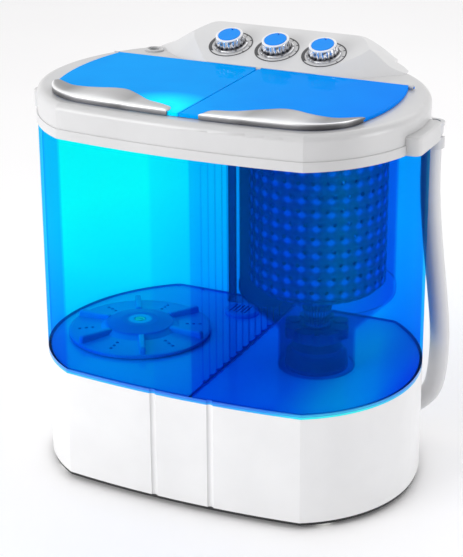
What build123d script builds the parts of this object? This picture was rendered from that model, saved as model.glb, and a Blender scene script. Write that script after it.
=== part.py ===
from build123d import *
import math
import os

os.makedirs("parts", exist_ok=True)

# Twin-tub mini washer, millimetres. +Z is up, the front (lid handles) faces -Y.
# Origin: middle of the footprint, on the surface the feet stand on.

# ---- driving dimensions -------------------------------------------------------------
HALF_WIDTH = 230.0          # widest half of the body, at WIDEST_Y
WIDEST_Y = -8.0
CREASE_X = 149.0            # vertical crease between the front and the side
CREASE_Y = -146.0
FRONT_BOW = 9.7             # how far the front bulges out between the creases
FRONT_SIDE_R = 158.2        # side, from the crease to the widest line
REAR_SIDE_R = 196.2         # side, from the widest line to the rear corner
REAR_Y = 150.0
REAR_CORNER_R = 14.0

FOOT_TOP = 5.5
BASE_BOTTOM = 9.0
TUB_BOTTOM = 139.0
TUB_TOP = 426.0
BAND_BOTTOM = 437.0
DECK_Z = 466.0
CONSOLE_TOP = 499.0
BASE_WALL = 3.5
TUB_WALL = 3.5
TOP_WALL = 3.0
FLOOR_T = 4.0
PLATE_INSET = 0.8
RIM_STEP = 1.2              # the rim stands this far outside the walls
SHOULDER_R = 8.0

GROOVE_X = (-31.0, 41.5)    # vertical grooves in the front of the tub and base
GROOVE_R = 5.0
GROOVE_DEPTH = 2.0

WASH_X = -125.0             # pulsator axis
SPIN_X = 110.0              # spin basket axis
AXIS_Y = -8.0
DIVIDER_X = (14.0, 18.0)

PULSATOR_R = 87.5
PULSATOR_Z = 144.5
BASKET_R = 79.0
BASKET_BOTTOM = 247.0
BASKET_TOP = 418.0
BASKET_WALL = 2.6
BASKET_ROWS = 9
BASKET_COLUMNS = 30
BASKET_PITCH = 16.0
BASKET_HOLE_R = 2.6
CHAMBER_R = 87.6
NECK_R = 43.0

LID_T = 4.0
LID_BOTTOM = DECK_Z + 0.6
LID_TOP = LID_BOTTOM + LID_T
HANDLE_TOP = LID_TOP + 3.0
HINGE_Y = 69.2
HINGE_BARREL_R = 2.2
HINGE_Z = LID_TOP - HINGE_BARREL_R
PEG_R = 1.3
PEG_FIT = 0.07
LID_HALF = 186.0            # outer end of the lid's hinge edge
EAR_T = 6.0
SEAM_GAP = 1.0

PANEL_TILT = 19.0
PANEL_FOOT_Y = 72.0
PANEL_FOOT_Z = 470.5
PANEL_T = 2.5
FLANK_SLOPE = 52.0          # the console's flanks lean in this far from upright
KNOB_X = {"wash_timer": -56.0, "selector": 4.5, "spin_timer": 65.0}
KNOB_Y = 111.0
KNOB_R = 21.0
KNOB_CAP_R = 13.4
SHAFT_R = 3.0

PULLEY_Z = (66.0, 82.0)
PULLEY_FLANGE = 3.0
PULSATOR_PULLEY_R = 55.0
MOTOR_PULLEY_R = 11.0
WASH_MOTOR_X = -8.0
WASH_MOTOR_Y = 40.0
WASH_MOTOR_R = 36.0
BELT_T = 5.0
CLEAR = 0.3

VALVE_X = -36.0
VALVE_Y = 98.0
PIPE_R = 7.5

CORD_X = -150.0
CORD_Z = 50.0
GLAND_R = 8.0

HOSE_D = 24.0
OUTLET_ANGLE = 48.0         # where the drain outlet sits on the rear side arc
OUTLET_HEADING = 8.0        # the outlet points this way, from +X towards +Y
OUTLET_RISE = 38.0          # and this far above level
OUTLET_Z = 28.0
OUTLET_REACH = 26.0         # from the wall's inside to the hose's end

BASE = (Align.CENTER, Align.CENTER, Align.MIN)


# ---- helpers ------------------------------------------------------------------------
def save(name, shape):
    export_step(shape, f"parts/{name}.step")


def cyl(r, z0, z1, x=0.0, y=0.0):
    return Pos(x, y, z0) * Cylinder(r, z1 - z0, align=BASE)


def tube(r_out, r_in, z0, z1, x=0.0, y=0.0):
    return cyl(r_out, z0, z1, x, y) - cyl(r_in, z0 - 1, z1 + 1, x, y)


def block(x0, x1, y0, y1, z0, z1):
    return Pos((x0 + x1) / 2, (y0 + y1) / 2, z0) * Box(x1 - x0, y1 - y0, z1 - z0, align=BASE)


def prism(face, z0, z1):
    return extrude(Pos(0, 0, z0) * face, z1 - z0)


def mirrored(shape):
    return [shape, mirror(shape, about=Plane.YZ)]


def lathe(points, x=0.0, y=0.0):
    """Turn a closed (radius, height) outline about the vertical through (x, y)."""
    face = make_face(Polyline(*[(r, 0, z) for r, z in points], close=True))
    return Pos(x, y, 0) * revolve(face, Axis.Z)


def on_arc(centre_x, radius, degrees):
    a = math.radians(degrees)
    return (centre_x + radius * math.cos(a), WIDEST_Y + radius * math.sin(a))


FRONT_SIDE_X = HALF_WIDTH - FRONT_SIDE_R
REAR_SIDE_X = HALF_WIDTH - REAR_SIDE_R
REAR_ANGLE = math.degrees(math.asin((REAR_Y - WIDEST_Y) / REAR_SIDE_R))
CREASE_ANGLE = -math.degrees(math.asin((WIDEST_Y - CREASE_Y) / FRONT_SIDE_R))


def plan(inset=0.0):
    """The body's outline from above, moved inwards by inset."""
    widest = (HALF_WIDTH, WIDEST_Y)
    crease = (CREASE_X, CREASE_Y)
    corner = on_arc(REAR_SIDE_X, REAR_SIDE_R, REAR_ANGLE)
    right = [
        ThreePointArc(crease, on_arc(FRONT_SIDE_X, FRONT_SIDE_R, CREASE_ANGLE / 2), widest),
        ThreePointArc(widest, on_arc(REAR_SIDE_X, REAR_SIDE_R, REAR_ANGLE / 2), corner),
    ]
    left = [mirror(edge, about=Plane.YZ) for edge in right]
    front = ThreePointArc((-crease[0], crease[1]), (0, CREASE_Y - FRONT_BOW), crease)
    rear = Line(corner, (-corner[0], corner[1]))
    face = make_face([front, *right, rear, *left])
    rear_corners = face.vertices().filter_by(lambda v: v.Y > REAR_Y - 1)
    face = fillet(rear_corners, REAR_CORNER_R)
    if inset:
        face = offset(face, amount=-inset, kind=Kind.INTERSECTION)
    return face


def front_y(x):
    return CREASE_Y - FRONT_BOW * (1 - (x / CREASE_X) ** 2)


def front_grooves(z0, z1):
    out = GROOVE_R - GROOVE_DEPTH
    return [cyl(GROOVE_R, z0, z1, x, front_y(x) - out) for x in GROOVE_X]


PLAN = plan()
PLAN_BASE_IN = plan(BASE_WALL)
PLAN_TUB_IN = plan(TUB_WALL)


# ---- base ---------------------------------------------------------------------------
SCREW_INSET = 7.0
SCREW_RIGHT = [
    on_arc(FRONT_SIDE_X, FRONT_SIDE_R - SCREW_INSET, -38),
    on_arc(REAR_SIDE_X, REAR_SIDE_R - SCREW_INSET, 5),
    (95.0, REAR_Y - SCREW_INSET),
]
SCREW_SPOTS = [(0.0, front_y(0) + SCREW_INSET)] + SCREW_RIGHT + [(-x, y) for x, y in SCREW_RIGHT]
OUTLET_AT = on_arc(REAR_SIDE_X, REAR_SIDE_R - BASE_WALL, OUTLET_ANGLE)


def along_outlet(distance):
    """A point on the drain outlet's axis, measured from the inside of the base wall."""
    a = math.radians(OUTLET_HEADING)
    e = math.radians(OUTLET_RISE)
    return Vector(
        OUTLET_AT[0] + distance * math.cos(a) * math.cos(e),
        OUTLET_AT[1] + distance * math.sin(a) * math.cos(e),
        OUTLET_Z + distance * math.sin(e),
    )


def rod(start, end, r):
    start = Vector(*start)
    end = Vector(*end)
    return extrude(Plane(start, z_dir=end - start) * Circle(r), (end - start).length)


def base_housing():
    wall = prism(PLAN - PLAN_BASE_IN, BASE_BOTTOM, TUB_BOTTOM)
    shelf = prism(plan(BASE_WALL - 0.5) - plan(14), TUB_BOTTOM - 4, TUB_BOTTOM)
    shape = wall + shelf
    shape += [cyl(5, BASE_BOTTOM, 34, x, y) for x, y in SCREW_SPOTS]
    shape = shape & prism(PLAN, BASE_BOTTOM, TUB_BOTTOM)
    shape -= front_grooves(BASE_BOTTOM, TUB_BOTTOM)
    shape -= [cyl(1.6, BASE_BOTTOM - 1, 30, x, y) for x, y in SCREW_SPOTS]
    shape -= rod(along_outlet(-25), along_outlet(40), PIPE_R + 0.3)
    shape -= [block(x, x + 34, REAR_Y - 8, REAR_Y + 1, z, z + 4)
              for x in (-120, -80) for z in range(70, 120, 10)]
    shape -= Pos(CORD_X, REAR_Y, CORD_Z) * Rot(-90, 0, 0) * Cylinder(GLAND_R + 0.3, 24)
    return shape


def bottom_plate():
    shape = prism(plan(PLATE_INSET), FOOT_TOP, BASE_BOTTOM)
    shape -= [cyl(2.0, 0, 20, x, y) for x, y in SCREW_SPOTS]
    shape -= [block(SPIN_X - 40, SPIN_X + 40, y, y + 6, 0, 20) for y in range(-120, -70, 14)]
    shape -= [block(-40, 20, y, y + 6, 0, 20) for y in range(10, 70, 14)]
    return shape


FEET = [(162, -114), (-162, -114), (198, 58), (-198, 58)]


def foot(x, y):
    return lathe([(0, 0), (13.5, 0), (15.5, 2.5), (15.5, FOOT_TOP), (0, FOOT_TOP)], x, y)


def bottom_plate_screw(x, y):
    head = lathe([(0, 3.0), (2.8, 3.0), (3.6, 3.9), (3.6, FOOT_TOP), (0, FOOT_TOP)], x, y)
    slot = block(x - 2.2, x + 2.2, y - 0.4, y + 0.4, 2.5, 3.7)
    return head + cyl(1.55, FOOT_TOP, 26, x, y) - slot


# ---- tub ----------------------------------------------------------------------------
RIB_PITCH = 18.0


def tub_shell():
    wall = prism(PLAN, TUB_BOTTOM, TUB_TOP) - prism(PLAN_TUB_IN, TUB_BOTTOM + FLOOR_T, TUB_TOP)
    divider = block(*DIVIDER_X, -160, 160, TUB_BOTTOM + FLOOR_T - 1, TUB_TOP)
    ribs = [cyl(4.0, TUB_BOTTOM + FLOOR_T - 1, TUB_TOP - 20, DIVIDER_X[0] + 1, -110 + i * RIB_PITCH)
            for i in range(13)]
    side_ribs = [cyl(3.0, TUB_BOTTOM + FLOOR_T - 1, TUB_TOP - 60, x, REAR_Y - TUB_WALL)
                 for x in (-150, -115)]
    shape = wall + ((divider + ribs + side_ribs) & prism(plan(1), TUB_BOTTOM, TUB_TOP))
    shape -= front_grooves(TUB_BOTTOM, TUB_TOP)
    shape -= cyl(14.0, 130, 150, WASH_X, AXIS_Y)
    shape -= cyl(12.0, 130, 150, SPIN_X, AXIS_Y)
    shape -= cyl(13.0, 130, 150, VALVE_X, VALVE_Y)
    return shape


def spin_chamber():
    wall = 2.4
    top = TUB_TOP
    outline = [
        (CHAMBER_R, top), (CHAMBER_R + 3.8, top), (CHAMBER_R + 3.8, top - 3),
        (CHAMBER_R + wall, top - 3), (CHAMBER_R + wall, 238), (NECK_R + wall, 192),
        (NECK_R + wall, TUB_BOTTOM + FLOOR_T), (NECK_R, TUB_BOTTOM + FLOOR_T), (NECK_R, 193.5),
        (CHAMBER_R, 239.5),
    ]
    shape = lathe(outline, SPIN_X, AXIS_Y)
    hoop = tube(CHAMBER_R + 3.6, CHAMBER_R + 1, 241, 247, SPIN_X, AXIS_Y)
    return shape + hoop


LUG_Y = (-46.0, 30.0)
LUG_OUT = 12.0


def tub_rim_ring():
    ring = prism(plan(-RIM_STEP) - plan(9), TUB_TOP, BAND_BOTTOM)
    lug = block(HALF_WIDTH - 12, HALF_WIDTH + LUG_OUT, *LUG_Y, TUB_TOP, 447)
    lug = fillet(lug.edges().filter_by(Axis.Z).group_by(Axis.X)[-1], 9)
    lug = fillet(lug.faces().sort_by(Axis.Z)[-1].edges(), 2.5)
    pocket = block(HALF_WIDTH + RIM_STEP + 1.5, HALF_WIDTH + LUG_OUT - 2.5, LUG_Y[0] + 3, LUG_Y[1] - 3,
                   TUB_TOP - 1, 443.5)
    lug = lug - pocket
    lug = lug - prism(plan(-RIM_STEP + 0.5), TUB_TOP - 1, BAND_BOTTOM) - prism(PLAN, BAND_BOTTOM, 450)
    return ring + mirrored(lug)


# ---- top frame ----------------------------------------------------------------------
def lid_outline(inset=0.0):
    """One lid seen from above, right-hand side, from the seam out to the rounded corner."""
    seam = SEAM_GAP / 2
    rear = HINGE_Y
    edges = [
        Line((seam, rear), (LID_HALF, rear)),
        ThreePointArc((LID_HALF, rear), (197, -8), (187, -78)),
        ThreePointArc((187, -78), (168.5, -112.5), (130, -131)),
        ThreePointArc((130, -131), (66, -136.3), (seam, -138)),
        Line((seam, -138), (seam, rear)),
    ]
    face = make_face(edges)
    if inset:
        face = offset(face, amount=-inset, kind=Kind.INTERSECTION)
    return face


def ear(x):
    """Hinge ear standing on the deck, bored for a lid's peg."""
    shape = block(x - EAR_T / 2, x + EAR_T / 2, HINGE_Y - 2.8, HINGE_Y + 2.8, DECK_Z - 1, HINGE_Z)
    shape += Pos(x, HINGE_Y, HINGE_Z) * Rot(0, 90, 0) * Cylinder(2.8, EAR_T)
    return shape - Pos(x, HINGE_Y, HINGE_Z) * Rot(0, 90, 0) * Cylinder(PEG_R + PEG_FIT, EAR_T + 2)


EAR_OUT_X = LID_HALF + EAR_T / 2 + 0.4


def top_frame():
    shape = prism(PLAN, BAND_BOTTOM, DECK_Z)
    top_edges = shape.faces().sort_by(Axis.Z)[-1].edges()
    shape = fillet(top_edges, SHOULDER_R)
    shape -= prism(plan(TOP_WALL), BAND_BOTTOM - 1, DECK_Z - TOP_WALL)
    wash_open = mirror(lid_outline(9), about=Plane.YZ) - Pos(0, 0) * Rectangle(24, 400)
    spin_open = (Pos(SPIN_X, AXIS_Y) * Circle(CHAMBER_R)) & lid_outline(7)
    shape -= prism(wash_open, DECK_Z - 10, DECK_Z + 5)
    shape -= prism(spin_open, DECK_Z - 10, DECK_Z + 5)
    shape -= block(-114, 114, 90, 140.5, DECK_Z - 10, DECK_Z + 5)
    shape -= cyl(9.0, DECK_Z - 10, DECK_Z + 5, INLET_AT[0], INLET_AT[1])
    skirt = tube(CHAMBER_R + 2.4, CHAMBER_R, TUB_TOP + 0.3, DECK_Z - TOP_WALL + 0.5, SPIN_X, AXIS_Y)
    shape += skirt
    shape += [ear(x) for x in (-EAR_OUT_X, 0, EAR_OUT_X)]
    return shape


INLET_AT = (-160.0, 111.0)


def water_inlet():
    x, y = INLET_AT
    cap = lathe([(0, DECK_Z), (12, DECK_Z), (12, DECK_Z + 1.2), (10.6, DECK_Z + 2.2), (8.4, DECK_Z + 2.2),
                 (8.4, DECK_Z + 1.4), (0, DECK_Z + 1.4)], x, y)
    stem = tube(8.9, 6.5, DECK_Z - 26, DECK_Z + 0.1, x, y)
    return cap + stem - cyl(6.5, DECK_Z - 30, DECK_Z + 5, x, y)


# ---- control console ----------------------------------------------------------------
def panel_z(y):
    return PANEL_FOOT_Z + (y - PANEL_FOOT_Y) * math.tan(math.radians(PANEL_TILT))


def on_panel(x, height=0.0):
    """Frame whose Z is the panel's outward normal, at a knob centre."""
    return Pos(x, KNOB_Y, panel_z(KNOB_Y)) * Rot(PANEL_TILT, 0, 0) * Pos(0, 0, height)


def console_solid(inset):
    """Sloping hump: the slope from the side, the hump from the front and its outline from above."""
    floor = DECK_Z - (5 if inset else 0)
    drop = inset / math.cos(math.radians(PANEL_TILT))
    top = CONSOLE_TOP - inset
    back = 157 - inset
    crest_y = PANEL_FOOT_Y + (top + drop - PANEL_FOOT_Z) / math.tan(math.radians(PANEL_TILT))
    crest_y = min(crest_y, back - 0.4)
    crest_z = panel_z(crest_y) - drop
    slope = make_face(Polyline(
        (0, PANEL_FOOT_Y + inset, floor), (0, PANEL_FOOT_Y + inset, panel_z(PANEL_FOOT_Y + inset) - drop),
        (0, crest_y, crest_z), (0, back, crest_z), (0, back, floor), close=True))
    slope = extrude(Pos(-170, 0, 0) * slope, 340, dir=(1, 0, 0))
    half = [(160 - inset, DECK_Z + 1.2), (141, 474.5), (124, 485.5), (105, 495.5), (84, CONSOLE_TOP)]
    half = [(x, z - inset) for x, z in half]
    right = Spline(*[(x, 0, z) for x, z in half], tangents=[(-1, 0, 0.3), (-1, 0, 0)])
    left = mirror(right, about=Plane.YZ)
    edges = [
        right, Line((half[-1][0], 0, top), (-half[-1][0], 0, top)), left,
        Line((-half[0][0], 0, half[0][1]), (-half[0][0], 0, floor)),
        Line((-half[0][0], 0, floor), (half[0][0], 0, floor)),
        Line((half[0][0], 0, floor), (half[0][0], 0, half[0][1])),
    ]
    hump = extrude(Pos(0, 60, 0) * make_face(edges), 110, dir=(0, 1, 0))
    pull = inset / math.cos(math.radians(FLANK_SLOPE))
    flank = [(40, 54), (82, 71), (124, 97), (160, 128), (250, 210)]
    foot = [(-x, y + pull) for x, y in reversed(flank)] + [(x, y + pull) for x, y in flank]
    outline = make_face(Polyline(*foot, (250, 320), (-250, 320), close=True))
    flanks = extrude(Pos(0, 0, DECK_Z) * outline, CONSOLE_TOP + 1 - DECK_Z, taper=FLANK_SLOPE)
    flanks += prism(outline, DECK_Z - 6, DECK_Z)
    body = plan(1.0 + inset) + Pos(0, 75) * Rectangle(280 - 2 * inset, 2 * (back - 75))
    return slope & hump & flanks & prism(body, floor, CONSOLE_TOP + 1)


def control_panel():
    shape = console_solid(0)
    shape -= console_solid(PANEL_T)
    shape -= [on_panel(x) * Cylinder(SHAFT_R + 1.5, 30) for x in KNOB_X.values()]
    return shape


def dial_ring(x):
    """Raised scale around a knob: a thin ring with a thick arc on its left."""
    ring = Circle(27.0) - Circle(25.6)
    arc = (Circle(27.0) - Circle(23.0)) & Pos(-20, 0) * Rectangle(24, 34)
    ticks = Sketch() + [Rot(0, 0, a) * Pos(0, 24.6) * Rectangle(0.9, 2.6) for a in range(-120, 121, 30)]
    return on_panel(x) * extrude(ring + arc + ticks, 0.4)


# ---- knobs and switches ---------------------------------------------------------------
def knob(x):
    """Fluted round knob with a recessed top, on a flange just clear of the panel."""
    base = Pos(0, 0, 0.8) * Cylinder(KNOB_R, 2.2, align=BASE)
    body = Pos(0, 0, 3.0) * Cone(19.8, 16.6, 11.0, align=BASE)
    flutes = [Rot(0, 0, a) * Pos(21.4, 0, 3.0) * Rot(0, -16, 0) * Cylinder(2.6, 16, align=BASE)
              for a in range(0, 360, 20)]
    shape = base + (body - flutes)
    shape -= Pos(0, 0, 12.5) * Cylinder(KNOB_CAP_R + 0.1, 3, align=BASE)
    shape -= Cylinder(SHAFT_R, 9.0, align=BASE)
    return on_panel(x) * shape


def knob_cap(x):
    """Coloured disc in the knob's top, with a pointer notch towards the rear."""
    disc = Cylinder(KNOB_CAP_R, 1.9, align=BASE)
    disc = fillet(disc.edges().group_by(Axis.Z)[-1], 0.6)
    notch = Pos(0, 11.5, 1.2) * Box(2.0, 5.0, 2.0)
    return on_panel(x, 12.5) * (disc - notch)


def knob_shaft(x):
    shaft = Pos(0, 0, -7.0) * Cylinder(SHAFT_R - 0.02, 16.0, align=BASE)
    return on_panel(x) * shaft


def timer_body(x, size, depth):
    """Clockwork timer or switch under the panel, held by a threaded collar."""
    case = Pos(0, 0, -PANEL_T - 4 - depth) * Box(size, size * 0.8, depth, align=BASE)
    collar = Pos(0, 0, -PANEL_T - 4) * Cylinder(8.0, 4.0, align=BASE)
    bore = Pos(0, 0, -7.2) * Cylinder(SHAFT_R + 0.05, 20.0, align=BASE)
    return on_panel(x) * (case + collar - bore)


# ---- lids -----------------------------------------------------------------------------
def lid():
    """Right-hand lid: a shallow tray with a rolled rear edge and a hinge peg at each end."""
    plate = prism(lid_outline(), LID_BOTTOM, LID_TOP)
    front_edges = plate.faces().sort_by(Axis.Z)[-1].edges().filter_by(lambda e: e.center().Y < HINGE_Y - 2)
    plate = fillet(front_edges, 1.2)
    recess = prism(lid_outline(6), LID_BOTTOM - 1, LID_BOTTOM + 1.6)
    plate -= recess
    low = HINGE_Z - HINGE_BARREL_R
    roll = make_face([
        Line((0, HINGE_Y - 4, LID_TOP), (0, HINGE_Y, LID_TOP)),
        ThreePointArc((0, HINGE_Y, LID_TOP), (0, HINGE_Y + HINGE_BARREL_R, HINGE_Z), (0, HINGE_Y, low)),
        Line((0, HINGE_Y, low), (0, HINGE_Y - 4, low)),
        Line((0, HINGE_Y - 4, low), (0, HINGE_Y - 4, LID_TOP)),
    ])
    seam = SEAM_GAP / 2
    shape = plate + extrude(Pos(seam, 0, 0) * roll, LID_HALF - seam, dir=(1, 0, 0))
    notch = EAR_T / 2 + 0.4
    shape -= block(-1, notch, HINGE_Y - 6, HINGE_Y + 6, DECK_Z - 3, LID_TOP + 3)
    shape -= block(LID_HALF, LID_HALF + 10, HINGE_Y - 3.4, HINGE_Y + 6, DECK_Z - 3, LID_TOP + 3)
    outer_peg = Pos(LID_HALF - 1, HINGE_Y, HINGE_Z) * Rot(0, 90, 0) * Cylinder(PEG_R, EAR_T + 2, align=BASE)
    inner_peg = Pos(notch - 2.6, HINGE_Y, HINGE_Z) * Rot(0, 90, 0) * Cylinder(PEG_R, 6, align=BASE)
    return shape + outer_peg + inner_peg


HANDLE_WAVE = [(206, -58), (166, -84), (147, -86.5), (129, -83), (110, -77), (94, -78), (73, -92), (54, -106),
               (32, -114), (8, -125)]


def lid_handle(start_x, end_x):
    """Curved grip along a right-hand lid's front edge, with a waved inner edge and a finger scoop."""
    lip = prism(lid_outline(-1.6), LID_BOTTOM + 0.2, HANDLE_TOP)
    lip -= prism(lid_outline(), LID_BOTTOM - 1, LID_TOP)
    wave = make_face([
        Spline(*HANDLE_WAVE, tangents=[(-1, -0.6), (-1, -0.5)]),
        Line(HANDLE_WAVE[-1], (HANDLE_WAVE[-1][0], -170)),
        Line((HANDLE_WAVE[-1][0], -170), (HANDLE_WAVE[0][0], -170)),
        Line((HANDLE_WAVE[0][0], -170), HANDLE_WAVE[0]),
    ])
    grip = lip & prism(wave, LID_BOTTOM - 1, LID_TOP + 9) & block(start_x, end_x, -200, 0, LID_BOTTOM - 1, 490)
    dish_r = 60.0
    dish = Pos(103, -101, LID_TOP + 0.9 + dish_r) * Sphere(dish_r)
    return grip - dish


# ---- wash drive -----------------------------------------------------------------------
def pulsator():
    """Wash disc with six curved vanes and drain holes, on a keyed hub."""
    z = PULSATOR_Z
    disc = lathe([(0, z + 2), (84, z), (PULSATOR_R, z), (PULSATOR_R, z + 3.5), (84, z + 4.5), (48, z + 6.5),
                  (40, z + 12), (22, z + 15), (0, z + 15)], WASH_X, AXIS_Y)
    vane = Pos(63, 0, z + 3) * Box(44, 7, 10, align=BASE)
    vane = fillet(vane.edges().filter_by(Axis.Y).group_by(Axis.Z)[-1], 4)
    vane = fillet(vane.faces().sort_by(Axis.Z)[-1].edges().filter_by(Axis.X), 2)
    shape = disc + [Pos(WASH_X, AXIS_Y) * Rot(0, 0, a) * vane for a in range(0, 360, 60)]
    holes = [Pos(WASH_X, AXIS_Y) * Rot(0, 0, a + 30) * Pos(r, 0, z - 2) * Cylinder(2.2, 16, align=BASE)
             for a in range(0, 360, 60) for r in (58, 66, 74)]
    shape -= holes
    shape -= cyl(4.98, z - 2, z + 11, WASH_X, AXIS_Y)
    shape -= cyl(7.4, z + 12.0, z + 16, WASH_X, AXIS_Y)
    shape -= cyl(2.6, z + 10, z + 16, WASH_X, AXIS_Y)
    return shape


def pulsator_screw():
    z = PULSATOR_Z + 12.0
    head = lathe([(0, z), (6.8, z), (6.8, z + 2.2), (5.6, z + 3.4), (0, z + 3.4)], WASH_X, AXIS_Y)
    slot = block(WASH_X - 4, WASH_X + 4, AXIS_Y - 0.7, AXIS_Y + 0.7, z + 2.2, z + 5)
    return head + cyl(2.4, z - 8, z, WASH_X, AXIS_Y) - slot


def pulsator_shaft():
    top = PULSATOR_Z + 11.0
    return cyl(4.95, 60, top, WASH_X, AXIS_Y) - cyl(2.4, top - 7, top + 1, WASH_X, AXIS_Y)


def pulsator_bearing():
    """Bearing housing clamped in the tub floor, with a flange under it."""
    outline = [(5.0, 100), (13, 100), (13, 131), (26, 131), (26, 135), (26, TUB_BOTTOM), (13.9, TUB_BOTTOM),
               (13.9, PULSATOR_Z - 1.0), (5.0, PULSATOR_Z - 1.0)]
    return lathe(outline, WASH_X, AXIS_Y)


def pulley(core_r, x, y, bore, hub_r, hub_z):
    low, high = PULLEY_Z
    flange_r = core_r + BELT_T + 2
    shape = lathe([(bore, low), (flange_r, low), (flange_r, low + PULLEY_FLANGE), (core_r, low + PULLEY_FLANGE),
                   (core_r, high - PULLEY_FLANGE), (flange_r, high - PULLEY_FLANGE), (flange_r, high),
                   (bore, high)], x, y)
    return shape + tube(hub_r, bore, *hub_z, x, y)


def pulsator_pulley():
    shape = pulley(PULSATOR_PULLEY_R, WASH_X, AXIS_Y, 4.95, 12, (62, 66.1))
    windows = [Pos(WASH_X, AXIS_Y) * Rot(0, 0, a) * Pos(32, 0, 60) * Cylinder(11, 30, align=BASE)
               for a in range(0, 360, 72)]
    return shape - windows


def drive_belt():
    """Flat belt round both pulleys, standing just clear of their grooves."""
    low = PULLEY_Z[0] + PULLEY_FLANGE + CLEAR
    high = PULLEY_Z[1] - PULLEY_FLANGE - CLEAR
    dx = WASH_MOTOR_X - WASH_X
    dy = WASH_MOTOR_Y - AXIS_Y
    span = math.hypot(dx, dy)

    def loop(extra):
        big = PULSATOR_PULLEY_R + extra
        small = MOTOR_PULLEY_R + extra
        lean = math.asin((big - small) / span)
        c = math.cos(lean)
        s = math.sin(lean)
        quad = make_face(Polyline((big * s, big * c), (span + small * s, small * c),
                                  (span + small * s, -small * c), (big * s, -big * c), close=True))
        return Circle(big) + Pos(span, 0) * Circle(small) + quad

    belt = loop(CLEAR + BELT_T) - loop(CLEAR)
    turned = Pos(WASH_X, AXIS_Y) * Rot(0, 0, math.degrees(math.atan2(dy, dx))) * belt
    return prism(turned, low, high)


def wash_motor():
    """Motor case with its cooling slots, hanging below the tub floor."""
    x, y = WASH_MOTOR_X, WASH_MOTOR_Y
    case = lathe([(14, 90), (WASH_MOTOR_R - 4, 90), (WASH_MOTOR_R, 94), (WASH_MOTOR_R, 124),
                  (WASH_MOTOR_R - 4, 128), (14, 128)], x, y)
    ends = tube(14.1, 4.1, 92, 96, x, y) + tube(14.1, 4.1, 122, 128, x, y)
    slots = [Pos(x, y) * Rot(0, 0, a) * Pos(24, 0, 88) * Box(10, 4, 4, align=BASE)
             for a in range(0, 360, 45)]
    return case + ends - slots


def wash_motor_bracket():
    x, y = WASH_MOTOR_X, WASH_MOTOR_Y
    plate = block(x - 46, x + 46, y - 16, y + 16, 128, 131) - cyl(10, 120, 140, x, y)
    legs = [cyl(6, 131, TUB_BOTTOM, x + dx, y) for dx in (-39, 39)]
    return plate + legs


def wash_motor_shaft():
    """Rotor on the wash motor's shaft."""
    x, y = WASH_MOTOR_X, WASH_MOTOR_Y
    return cyl(4.0, 63, 127, x, y) + cyl(13.0, 98, 120, x, y)


def wash_motor_pulley():
    return pulley(MOTOR_PULLEY_R, WASH_MOTOR_X, WASH_MOTOR_Y, 4.0, 8, (63, 66.1))


# ---- spin drive -----------------------------------------------------------------------
def spin_basket():
    """Perforated spinner drum with a rolled rim, and a conical hub that seats on the coupling."""
    wall = BASKET_WALL
    r = BASKET_R
    shape = lathe([(r - 3, BASKET_TOP), (r + 3, BASKET_TOP), (r + 3, BASKET_TOP - 9), (r, BASKET_TOP - 11),
                   (r, BASKET_BOTTOM + 8), (r - 8, BASKET_BOTTOM), (24, BASKET_BOTTOM), (15, 206), (15, 196),
                   (6.0, 196), (6.0, 252), (24, 252), (r - 8, BASKET_BOTTOM + wall),
                   (r - wall, BASKET_BOTTOM + 8), (r - wall, BASKET_TOP - 11), (r - 3, BASKET_TOP - 9)],
                  SPIN_X, AXIS_Y)
    hole = Pos(r - 15, 0, 0) * Rot(0, 90, 0) * Cylinder(BASKET_HOLE_R, 25, align=BASE)
    turn = 360 / BASKET_COLUMNS
    first_row = BASKET_BOTTOM + 17
    holes = [Pos(SPIN_X, AXIS_Y, first_row + BASKET_PITCH * row) * Rot(0, 0, turn * (column + 0.5 * (row % 2)))
             * hole for row in range(BASKET_ROWS) for column in range(BASKET_COLUMNS)]
    return shape - Compound(holes)


def basket_coupling():
    """Lobed rubber-covered coupling under the basket's hub."""
    lobes = [Pos(SPIN_X, AXIS_Y, 183) * Rot(0, 0, a) * Pos(30, 0, 0) * Cylinder(9.0, 12.5, align=BASE)
             for a in range(0, 360, 45)]
    shape = cyl(33, 180, 193, SPIN_X, AXIS_Y) + lobes + cyl(17, 193, 195.8, SPIN_X, AXIS_Y)
    return shape - cyl(6.0, 170, 200, SPIN_X, AXIS_Y)


def spin_shaft():
    """Motor rotor and the long shaft through the seal up to the basket."""
    return cyl(5.95, 30, 250, SPIN_X, AXIS_Y) + cyl(20, 44, 76, SPIN_X, AXIS_Y)


def brake_drum():
    return (tube(DRUM_R, 6.0, 104, 106, SPIN_X, AXIS_Y) + tube(DRUM_R, DRUM_R - 4, 104, 120, SPIN_X, AXIS_Y)
            + tube(12, 6.0, 104, 118, SPIN_X, AXIS_Y))


def spin_shaft_seal():
    """Rubber bellows closing the tub floor round the spin shaft."""
    folds = [(30, 163), (36, 160), (30, 157), (36, 154), (30, 151)]
    outline = [(6.3, 176), (16, 176), (17, 172), (30, 168), *folds, (37, 148), (37, 143), (10, 143), (10, 165),
               (6.3, 168)]
    return lathe(outline, SPIN_X, AXIS_Y)


MOTOR_LUG_Z = 32.0
MOTOR_LUG_OUT = 46.0
MOTOR_LUG_ANGLES = (90, 210, 330)


def spin_motor():
    x, y = SPIN_X, AXIS_Y
    case = lathe([(21, 36), (44, 36), (48, 40), (48, 80), (44, 84), (21, 84)], x, y)
    ends = tube(21.1, 6.0, 36, 40, x, y) + tube(21.1, 6.0, 80, 84, x, y)
    lugs = [Pos(x, y, MOTOR_LUG_Z) * Rot(0, 0, a) * Pos(MOTOR_LUG_OUT, 0, 0) * Cylinder(10, 4.5, align=BASE)
            for a in MOTOR_LUG_ANGLES]
    return case + ends + lugs


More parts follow.
